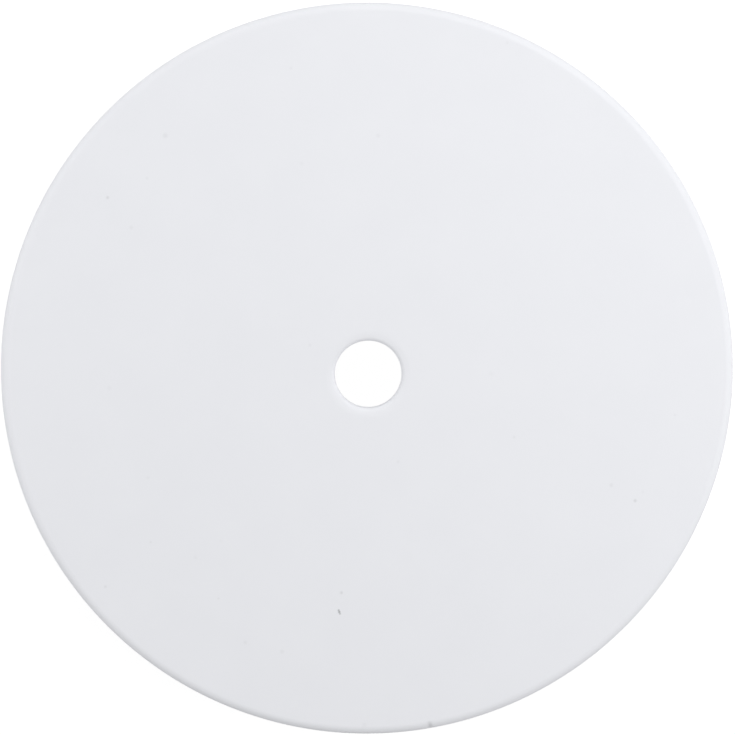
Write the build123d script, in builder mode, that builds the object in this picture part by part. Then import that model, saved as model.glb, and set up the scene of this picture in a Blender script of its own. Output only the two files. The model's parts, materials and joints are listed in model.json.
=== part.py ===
"""Ceiling canopy of a hanging light: one round cup, pressed from white painted sheet steel.

The cup covers the wiring box in the ceiling. Its flat face looks into the room, its skirt runs back
to the ceiling, and a plunged hole in the middle of the face takes the threaded tube or cord grip that
carries the light. The sheet is bent in one piece: the skirt, the bend, the face, the rounded lip of
the hole and the short collar behind it are one wall.

Millimetres, +Z up. The origin is on the hole's axis, in the plane of the skirt's open edge, which is
the ceiling plane. +Z runs from there out through the face.
"""

import os

from build123d import *

# The cup
outer_diameter = 120.0
canopy_depth = 25.0  # ceiling plane to face
sheet_thickness = 1.0
face_bend_radius = 1.8  # outside of the bend between face and skirt

# The hole that takes the threaded tube or cord grip
hole_diameter = 11.0  # clear bore of the collar
lip_radius = 1.0  # outside of the bend between face and collar
collar_depth = 3.0  # face to the collar's inner end
collar_wall = 0.8  # plunging stretches the sheet, so the collar is thinner than the face
tube_lead_in = 0.2  # chamfer round the bore's inner end, where the tube comes in from the ceiling

outer_radius = outer_diameter / 2
hole_radius = hole_diameter / 2
collar_end = canopy_depth - collar_depth

with BuildPart() as canopy:
    with BuildSketch(Plane.XZ) as wall_section:
        with BuildLine():
            room_side = FilletPolyline(
                (hole_radius, collar_end),
                (hole_radius, canopy_depth),
                (outer_radius, canopy_depth),
                (outer_radius, 0),
                radius=(lip_radius, face_bend_radius),
            )
            ceiling_side = FilletPolyline(
                (outer_radius - sheet_thickness, 0),
                (outer_radius - sheet_thickness, canopy_depth - sheet_thickness),
                (hole_radius + collar_wall, canopy_depth - sheet_thickness),
                (hole_radius + collar_wall, collar_end),
                radius=(face_bend_radius - sheet_thickness, lip_radius - collar_wall),
            )
            Line(room_side @ 1, ceiling_side @ 0)
            Line(ceiling_side @ 1, room_side @ 0)
        make_face()
    revolve(axis=Axis.Z)
    collar_end_edges = canopy.edges().filter_by_position(Axis.Z, collar_end, collar_end)
    chamfer(collar_end_edges.sort_by(SortBy.RADIUS)[0], length=tube_lead_in)

canopy.part.label = "canopy"

os.makedirs("parts", exist_ok=True)
export_step(canopy.part, "parts/canopy.step")
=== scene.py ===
"""Looks of a hanging light's ceiling canopy: a cup pressed from sheet steel, in white powder coat.

Metres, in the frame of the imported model: +Z points out of the flat face, and the cup rests on its
skirt's open edge in the plane Z = 0. The camera looks down on the face, with +Y up in the picture.
"""

import json
import math

import bpy
from mathutils import Matrix, Vector


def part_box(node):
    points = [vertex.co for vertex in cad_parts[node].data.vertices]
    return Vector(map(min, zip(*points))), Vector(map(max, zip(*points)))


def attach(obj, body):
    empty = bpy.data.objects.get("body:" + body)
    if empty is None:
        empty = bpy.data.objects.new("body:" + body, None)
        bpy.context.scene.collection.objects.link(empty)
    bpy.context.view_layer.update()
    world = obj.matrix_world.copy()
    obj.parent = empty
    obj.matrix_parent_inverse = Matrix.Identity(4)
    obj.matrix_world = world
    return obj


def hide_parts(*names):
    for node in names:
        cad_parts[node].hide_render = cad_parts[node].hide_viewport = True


MM = 0.001

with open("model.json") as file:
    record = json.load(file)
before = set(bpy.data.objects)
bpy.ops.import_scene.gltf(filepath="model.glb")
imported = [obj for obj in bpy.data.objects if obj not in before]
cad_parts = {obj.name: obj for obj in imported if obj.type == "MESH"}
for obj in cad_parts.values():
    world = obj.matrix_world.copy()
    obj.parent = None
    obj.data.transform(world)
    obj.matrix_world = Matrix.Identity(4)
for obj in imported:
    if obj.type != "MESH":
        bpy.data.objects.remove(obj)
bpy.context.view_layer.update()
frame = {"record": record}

# The cup's overall sizes come from the frame
cup_low, cup_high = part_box("canopy")
mounts = {mount["name"]: mount for mount in frame["record"]["mounts"]}
outer_radius = (cup_high.x - cup_low.x) / 2
canopy_depth = cup_high.z - cup_low.z
hole_radius = mounts["centre_hole"]["dims"]["r_mm"] * MM

# The sheet and its bends, as in the solid model
sheet_thickness = 1.0 * MM
face_bend_radius = 1.8 * MM
collar_depth = 3.0 * MM
collar_wall = 0.8 * MM
collar_root_radius = 0.2 * MM
tube_lead_in = 0.2 * MM

# The solid model's lip is one bend. Seen close, it is two: a tight bend at the hole, and a shallow dish
# outside it where the punch drew the face in
lip_radius = 0.7 * MM
dish_width = 1.1 * MM
dish_slope = 12.0  # degrees
dish_radius = 5.3 * MM  # where the dish runs out into the flat face

coat_rounding = 0.12 * MM  # the molten powder rounds a sheared corner

# How finely the wall is divided
turn_step = 1.0  # degrees about the axis
fine_turn_step = 0.125  # degrees, beside the dent
fine_turn_reach = 1.0  # degrees, to either side of the dent
longest_run = 3.0 * MM
hold_distance = 0.03 * MM  # a ring this close to each bend keeps the flats flat under smooth shading

# Soft boxes, six low ones from the picture's right round by the top to its left, and a high one: degrees
# about the axis, degrees above the face, watts
soft_box_side = 0.30
soft_box_distance = 0.35  # from the middle of the face
soft_boxes = [
    (330, 20, 0.146),
    (0, 20, 0.205),
    (60, 20, 0.255),
    (90, 20, 0.130),
    (150, 20, 0.170),
    (180, 20, 0.272),
    (30, 60, 0.302),
]
surround_light = 0.54  # against 1 for the white that the camera sees

# The floor as the camera sees it is partly its own glow and partly its lit colour, which holds the
# shadow. Away from the soft boxes it glows a little more, so that it stays white there.
floor_radius = 6.0
floor_glow_share = 0.5
floor_near = 0.10
floor_far = 0.35
floor_glow_near = 1.37
floor_glow_far = 1.52

# The one small dent, a nick on the rim's bend, with painted shade darkening its middle
dent_turn = -80.1  # degrees about the axis
dent_over = 34.0  # degrees over the bend, from the face down
dent_width = 0.75 * MM
dent_length = 1.7 * MM  # down the bend
dent_depth = 0.14 * MM
dent_painted_shade = 0.18  # in the middle, from 0 to 1

# Nibs and pits in the coat, round ones: x, y and width in millimetres on the face, and how dark the
# middle is from 0 to 1. Three in a row make the one long tick.
coat_specks = [
    (-4.88, -38.80, 0.53, 0.448),
    (-4.78, -39.06, 0.56, 0.560),
    (-4.68, -39.34, 0.46, 0.403),
    (-4.42, -35.86, 0.72, 0.138),
    (43.75, -20.75, 0.78, 0.147),
    (39.80, -18.15, 0.94, 0.064),
    (-41.95, 28.55, 0.69, 0.138),
    (-32.60, 38.43, 1.12, 0.074),
    (-38.20, 23.75, 0.94, 0.046),
    (-35.60, 31.65, 0.63, 0.046),
    (1.58, 38.50, 0.94, 0.046),
    (-12.40, 49.20, 0.72, 0.041),
    (-10.75, 34.05, 0.87, 0.028),
    (22.30, 53.30, 0.69, 0.037),
    (-9.50, 4.80, 0.78, 0.041),
    (20.00, 0.10, 1.09, 0.023),
    (23.80, -10.25, 0.69, 0.046),
    (4.85, -14.25, 0.72, 0.046),
    (-35.95, -16.80, 0.72, 0.041),
    (-42.05, -2.15, 0.94, 0.032),
    (-35.60, -27.40, 0.56, 0.064),
    (-24.15, -27.20, 0.63, 0.028),
    (-28.30, -29.95, 0.76, 0.032),
    (-43.05, -34.75, 0.66, 0.083),
    (-24.60, -36.75, 0.56, 0.055),
    (-20.25, -44.10, 0.87, 0.055),
    (-14.20, -45.65, 0.91, 0.055),
    (50.10, -6.65, 0.66, 0.041),
    (45.00, -19.30, 0.72, 0.028),
    (-0.65, -58.00, 1.10, 0.045),
]


def rounded_wall(corners):
    """Points round a closed wall section, from its corners (radius, height, fillet, steps, thinness of
    the coat). Each point is its radius and height, and its thinness. Flats are divided evenly, with a
    holding point beside each fillet."""
    fillets = []
    for index, (radius, height, fillet, steps, _) in enumerate(corners):
        corner = Vector((radius, height))
        before = Vector(corners[index - 1][:2])
        after = Vector(corners[(index + 1) % len(corners)][:2])
        to_before = (before - corner).normalized()
        to_after = (after - corner).normalized()
        half_angle = to_before.angle(to_after) / 2
        centre = corner + (to_before + to_after).normalized() * (fillet / math.sin(half_angle))
        first = corner + to_before * (fillet / math.tan(half_angle))
        last = corner + to_after * (fillet / math.tan(half_angle))
        fillets.append([
            centre + (first - centre).slerp(last - centre, step / steps) * fillet
            for step in range(steps + 1)
        ])
    points = []
    for index, fillet_points in enumerate(fillets):
        following = (index + 1) % len(fillets)
        thinness = corners[index][-1]
        thinness_ahead = corners[following][-1]
        points += [(point, thinness) for point in fillet_points]
        start = fillet_points[-1]
        end = fillets[following][0]
        run = end - start
        if run.length > 3 * hold_distance:
            pieces = math.ceil(run.length / longest_run)
            hold = hold_distance / run.length
            for share in [hold] + [piece / pieces for piece in range(1, pieces)] + [1 - hold]:
                points.append((start + run * share, thinness + (thinness_ahead - thinness) * share))
    return points


def turning_angles():
    """Degrees about the axis for the wall's sections, close together beside the dent."""
    count = round(fine_turn_reach / fine_turn_step)
    fine = [dent_turn + step * fine_turn_step for step in range(-count, count + 1)]
    even = [-180 + step * turn_step for step in range(round(360 / turn_step))]
    nearest = fine_turn_reach + turn_step / 4
    return sorted(fine + [angle for angle in even if abs(angle - dent_turn) > nearest])


def dent_share(turn, over):
    """How much of the dent a point of the rim's bend has, from 0 to 1, from its two angles in degrees."""
    across = math.radians(turn - dent_turn) * outer_radius
    along = math.radians(over - dent_over) * face_bend_radius
    return math.exp(-(2 * across / dent_width) ** 2 - (2 * along / dent_length) ** 2)


def cup_wall():
    """The cup's wall section, from the bore's inner end out over the face, down the skirt and back
    inside."""
    collar_end = canopy_depth - collar_depth
    face_inside = canopy_depth - sheet_thickness
    inner_radius = outer_radius - sheet_thickness
    dish_depth = dish_width * math.tan(math.radians(dish_slope))
    return rounded_wall([
        (hole_radius, collar_end, tube_lead_in, 4, 0.0),
        (hole_radius, canopy_depth - dish_depth, lip_radius, 16, 0.0),
        (hole_radius + dish_width, canopy_depth, dish_radius, 8, 0.0),
        (outer_radius, canopy_depth, face_bend_radius, 20, 0.0),
        (outer_radius, 0, coat_rounding, 4, 0.1),
        (inner_radius, 0, coat_rounding, 4, 0.4),
        (inner_radius, face_inside, face_bend_radius - sheet_thickness, 8, 1.0),
        (hole_radius + collar_wall, face_inside, collar_root_radius, 6, 0.7),
        (hole_radius + collar_wall, collar_end, coat_rounding, 4, 0.4),
    ])


def placed_mesh(name, vertices, faces):
    """A new object in the scene, with a mesh of its own."""
    mesh = bpy.data.meshes.new(name)
    mesh.from_pydata(vertices, [], faces)
    placed = bpy.data.objects.new(name, mesh)
    bpy.context.scene.collection.objects.link(placed)
    return placed


def make_cup():
    """The pressed wall turned about Z, as one closed mesh, with the dent pushed into the rim's bend and
    its painted shade kept on the points.
    """
    wall = cup_wall()
    turns = turning_angles()
    bend_centre = Vector((outer_radius - face_bend_radius, canopy_depth - face_bend_radius))
    vertices = []
    thinness_of_coat = []
    painted_shade_of_dent = []
    for degrees in turns:
        turn = math.radians(degrees)
        for point, thinness in wall:
            from_bend = point - bend_centre
            share = 0.0
            # Only points on the outside of the bend are as far as this from its centre
            if min(from_bend) > 0 and from_bend.length > 0.99 * face_bend_radius:
                share = dent_share(degrees, math.degrees(math.atan2(from_bend.x, from_bend.y)))
                point = point - from_bend.normalized() * dent_depth * share
            vertices.append((point.x * math.cos(turn), point.x * math.sin(turn), point.y))
            thinness_of_coat.append(thinness)
            # Painted shade: the dent's middle is darkened in the coat's colour, for the shade that falls
            # in it
            painted_shade_of_dent.append(dent_painted_shade * share)
    count = len(wall)
    faces = []
    for section in range(len(turns)):
        following = (section + 1) % len(turns)
        for index in range(count):
            beside = (index + 1) % count
            faces.append((
                section * count + index,
                section * count + beside,
                following * count + beside,
                following * count + index,
            ))
    cup = placed_mesh("canopy_cup", vertices, faces)
    for name, values in (("thin_coat", thinness_of_coat), ("painted_dent_shade", painted_shade_of_dent)):
        cup.data.attributes.new(name, "FLOAT", "POINT").data.foreach_set("value", values)
    cup.data.validate()
    cup.data.shade_smooth()
    return cup


class Nodes:
    """Makes and joins the nodes of one material or world."""

    def __init__(self, owner):
        owner.use_nodes = True
        self.tree = owner.node_tree
        self.tree.nodes.clear()

    def add(self, kind, inputs=None, **settings):
        node = self.tree.nodes.new(kind)
        for name, value in settings.items():
            setattr(node, name, value)
        for name, value in (inputs or {}).items():
            self.put(value, node.inputs[name])
        return node

    def put(self, value, socket):
        if isinstance(value, bpy.types.NodeSocket):
            self.tree.links.new(value, socket)
        else:
            socket.default_value = value

    def math(self, operation, first, second, clamp=False):
        node = self.add("ShaderNodeMath", {0: first, 1: second}, operation=operation, use_clamp=clamp)
        return node.outputs[0]

    def seen(self):
        """1 where the camera looks, straight or by way of a reflection or through glass, and else 0."""
        path = self.add("ShaderNodeLightPath").outputs
        camera_or_glossy = self.math("ADD", path["Is Camera Ray"], path["Is Glossy Ray"])
        return self.math("ADD", camera_or_glossy, path["Is Transmission Ray"], clamp=True)

    def noise(self, where, cell, detail=2.0, roughness=0.5):
        """Noise from 0 to 1 whose lumps are about one cell apart."""
        inputs = {"Vector": where, "Scale": 1 / cell, "Detail": detail, "Roughness": roughness}
        return self.add("ShaderNodeTexNoise", inputs).outputs["Fac"]

    def distance(self, where, place):
        node = self.add("ShaderNodeVectorMath", {0: where, 1: place}, operation="DISTANCE")
        return node.outputs["Value"]

    def scaled(self, value, from_low, from_high, to_low, to_high):
        """The value's range from_low to from_high made into to_low to to_high, and held there beyond."""
        return self.add("ShaderNodeMapRange", {
            "Value": value,
            "From Min": from_low,
            "From Max": from_high,
            "To Min": to_low,
            "To Max": to_high,
        }).outputs["Result"]


def grey(level):
    return (level, level, level, 1.0)


def speck_mask(nodes, where, speck):
    """How much a speck darkens a point of the face: most in its middle, fading to 0 at its edge."""
    x, y, width, darkness = speck
    distance = nodes.distance(where, (x * MM, y * MM, canopy_depth))
    return nodes.scaled(distance, width * MM / 2, width * MM / 8, 0.0, darkness)


def powder_coat():
    """Satin white powder coat: fine orange peel, faint mottling, specks, painted shade in the rim's dent,
    and a thinner coat inside.
    """
    material = bpy.data.materials.new("white_powder_coat")
    nodes = Nodes(material)
    where = nodes.add("ShaderNodeTexCoord").outputs["Object"]

    specks = 0.0
    for speck in coat_specks:
        specks = nodes.math("MAXIMUM", speck_mask(nodes, where, speck), specks)

    mottling = nodes.noise(where, cell=9 * MM, detail=3.0)
    white = nodes.add("ShaderNodeMix", {
        "Factor": nodes.scaled(mottling, 0.3, 0.7, 0.0, 1.0),
        "A": (0.797, 0.805, 0.838, 1.0),
        "B": (0.806, 0.814, 0.846, 1.0),
    }, data_type="RGBA").outputs["Result"]
    # Painted shade in the dent, over the real specks of the coat: both darken the white towards black
    painted_dent_shade = nodes.add("ShaderNodeAttribute", attribute_name="painted_dent_shade").outputs["Fac"]
    speckled_and_dent_shaded = nodes.add("ShaderNodeMix", {
        "Factor": nodes.math("MAXIMUM", specks, painted_dent_shade),
        "A": white,
        "B": grey(0.0),
    }, data_type="RGBA").outputs["Result"]

    # Inside the cup the coat is thin and dry, and the grey steel shows through it in patches
    thin = nodes.add("ShaderNodeAttribute", attribute_name="thin_coat").outputs["Fac"]
    blotches = nodes.noise(where, cell=2.5 * MM, detail=4.0, roughness=0.6)
    patches = nodes.scaled(blotches, 0.3, 0.7, 0.2, 0.5)
    coated = nodes.add("ShaderNodeMix", {
        "Factor": nodes.math("MULTIPLY", thin, patches),
        "A": speckled_and_dent_shaded,
        "B": (0.40, 0.40, 0.41, 1.0),
    }, data_type="RGBA").outputs["Result"]

    peel = nodes.noise(where, cell=1.5 * MM, detail=1.5)
    pebble = nodes.noise(where, cell=0.35 * MM, detail=2.0)
    peel_bump = nodes.add("ShaderNodeBump", {"Height": peel, "Strength": 1.0, "Distance": 0.010 * MM})
    pebble_bump = nodes.add("ShaderNodeBump", {
        "Height": pebble,
        "Strength": 1.0,
        "Distance": 0.0012 * MM,
        "Normal": peel_bump.outputs["Normal"],
    })
    speck_bump = nodes.add("ShaderNodeBump", {
        "Height": specks,
        "Strength": 1.0,
        "Distance": 0.03 * MM,
        "Normal": pebble_bump.outputs["Normal"],
    })

    satin = nodes.scaled(peel, 0.3, 0.7, 0.59, 0.65)
    shader = nodes.add("ShaderNodeBsdfPrincipled", {
        "Base Color": coated,
        "Roughness": nodes.math("ADD", satin, nodes.math("MULTIPLY", thin, 0.2)),
        "Normal": speck_bump.outputs["Normal"],
        "IOR": 1.5,
    })
    nodes.add("ShaderNodeOutputMaterial", {"Surface": shader.outputs["BSDF"]})
    return material


def floor_material():
    """Pale floor: white to the camera and to reflections, with the cup's faint shadow on it. Little of its
    light bounces up, so the bend's edge and the skirt stay shaded. It can't be seen from below."""
    material = bpy.data.materials.new("pale_floor")
    nodes = Nodes(material)
    pale = nodes.add("ShaderNodeBsdfDiffuse", {"Color": grey(0.9)}).outputs["BSDF"]
    dull = nodes.add("ShaderNodeBsdfDiffuse", {"Color": grey(0.15)}).outputs["BSDF"]
    bounced = nodes.add("ShaderNodeLightPath").outputs["Is Diffuse Ray"]
    lit = nodes.add("ShaderNodeMixShader", {0: bounced, 1: pale, 2: dull}).outputs["Shader"]
    where = nodes.add("ShaderNodeTexCoord").outputs["Object"]
    from_axis = nodes.distance(where, (0.0, 0.0, 0.0))
    strength = nodes.scaled(from_axis, floor_near, floor_far, floor_glow_near, floor_glow_far)
    glow = nodes.add("ShaderNodeEmission", {"Color": grey(1.0), "Strength": strength}).outputs["Emission"]
    share = nodes.math("MULTIPLY", nodes.seen(), floor_glow_share)
    front = nodes.add("ShaderNodeMixShader", {0: share, 1: lit, 2: glow}).outputs["Shader"]
    clear = nodes.add("ShaderNodeBsdfTransparent").outputs["BSDF"]
    below = nodes.add("ShaderNodeNewGeometry").outputs["Backfacing"]
    surface = nodes.add("ShaderNodeMixShader", {0: below, 1: front, 2: clear}).outputs["Shader"]
    nodes.add("ShaderNodeOutputMaterial", {"Surface": surface})
    return material


def make_floor():
    """A wide floor with a round opening under the cup, so that the hole shows the bare background."""
    steps = 360
    vertices = []
    for radius in (outer_radius, floor_radius):
        for step in range(steps):
            turn = 2 * math.pi * step / steps
            vertices.append((radius * math.cos(turn), radius * math.sin(turn), 0.0))
    faces = []
    for step in range(steps):
        following = (step + 1) % steps
        faces.append((step, steps + step, steps + following, following))
    floor = placed_mesh("floor", vertices, faces)
    floor.data.materials.append(floor_material())


def make_world():
    """An even white surround, which lights the cup at a plain level."""
    world = bpy.data.worlds.new("surround")
    bpy.context.scene.world = world
    nodes = Nodes(world)
    light = nodes.add("ShaderNodeBackground", {"Color": grey(1.0), "Strength": surround_light})
    white = nodes.add("ShaderNodeBackground", {"Color": grey(1.0), "Strength": 1.0})
    both = nodes.add("ShaderNodeMixShader", {0: nodes.seen(), 1: light.outputs[0], 2: white.outputs[0]})
    nodes.add("ShaderNodeOutputWorld", {"Surface": both.outputs["Shader"]})


def aimed(place, target, up):
    """A matrix that puts a camera or lamp at place, looking at target, with up towards its top."""
    back = (Vector(place) - Vector(target)).normalized()
    right = Vector(up).cross(back).normalized()
    turn = Matrix((right, back.cross(right), back)).transposed()
    return Matrix.Translation(place) @ turn.to_4x4()


def make_soft_box(azimuth, elevation, power):
    """A square soft box aimed at the middle of the face, and placed by its two angles there in degrees."""
    turn = math.radians(azimuth)
    rise = math.radians(elevation)
    middle = Vector((0, 0, canopy_depth))
    towards = Vector((math.cos(rise) * math.cos(turn), math.cos(rise) * math.sin(turn), math.sin(rise)))
    name = f"soft_box_{azimuth}_{elevation}"
    lamp = bpy.data.lights.new(name, "AREA")
    lamp.shape = "SQUARE"
    lamp.size = soft_box_side
    lamp.energy = power
    holder = bpy.data.objects.new(name, lamp)
    holder.matrix_world = aimed(middle + soft_box_distance * towards, middle, (0, 0, 1))
    holder.visible_camera = False
    bpy.context.scene.collection.objects.link(holder)


def make_camera():
    """The photograph's view: close above the face, a little towards the picture's top and left."""
    eye = (-2.34 * MM, 10.32 * MM, canopy_depth + 180 * MM)
    target = (-0.15 * MM, 1.16 * MM, canopy_depth)
    focal_pixels = 1109.0
    image_side = 735
    camera = bpy.data.cameras.new("camera")
    camera.sensor_width = 36.0
    camera.lens = camera.sensor_width * focal_pixels / image_side
    camera.clip_start = 0.01
    camera.clip_end = 50.0
    holder = bpy.data.objects.new("camera", camera)
    holder.matrix_world = aimed(eye, target, (0, 1, 0))
    bpy.context.scene.collection.objects.link(holder)
    bpy.context.scene.camera = holder


cup = make_cup()
cup.data.materials.append(powder_coat())
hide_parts("canopy")
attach(cup, "root")

make_camera()
make_world()
make_floor()
for soft_box in soft_boxes:
    make_soft_box(*soft_box)
bpy.context.scene.view_settings.view_transform = "Standard"
